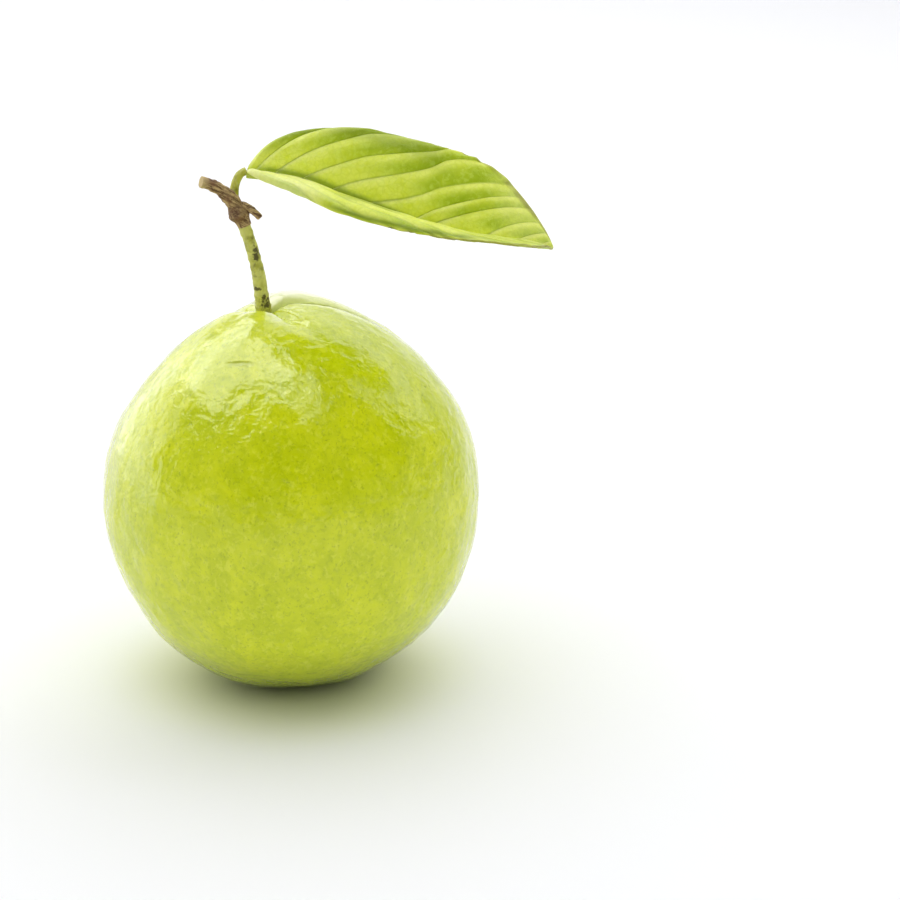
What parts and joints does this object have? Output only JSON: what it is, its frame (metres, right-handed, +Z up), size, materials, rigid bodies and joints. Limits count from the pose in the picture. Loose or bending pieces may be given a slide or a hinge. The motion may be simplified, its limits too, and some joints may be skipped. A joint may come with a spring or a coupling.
{
  "type": "guava",
  "caption": "Whole yellow-green guava on its stalk, with a short woody twig and a single folded, veined leaf; stands on a small flat spot.",
  "frame": {"origin": "centre of the small flat spot that the fruit rests on, on the surface below it", "axes": "+Z up from the surface towards the stalk, +X to the side that the leaf reaches to, -Y to the side that the leaf's hollow faces"},
  "size_m": [0.1154, 0.0974, 0.1436],
  "materials": {
    "guava_skin": "waxy, half glossy fruit skin",
    "calyx_brown": "dry and matte",
    "stalk_green": "matte green stalk",
    "twig_bark": "rough bark",
    "leaf_stalk_green": "matte green leaf stalk",
    "leaf_blade": "satin leaf"
  },
  "bodies": {
    "root": {"fruit": "guava_skin", "calyx": "calyx_brown", "stalk": "stalk_green", "twig": "twig_bark", "leaf_stalk": "leaf_stalk_green", "leaf": "leaf_blade"}
  },
  "joints": []
}
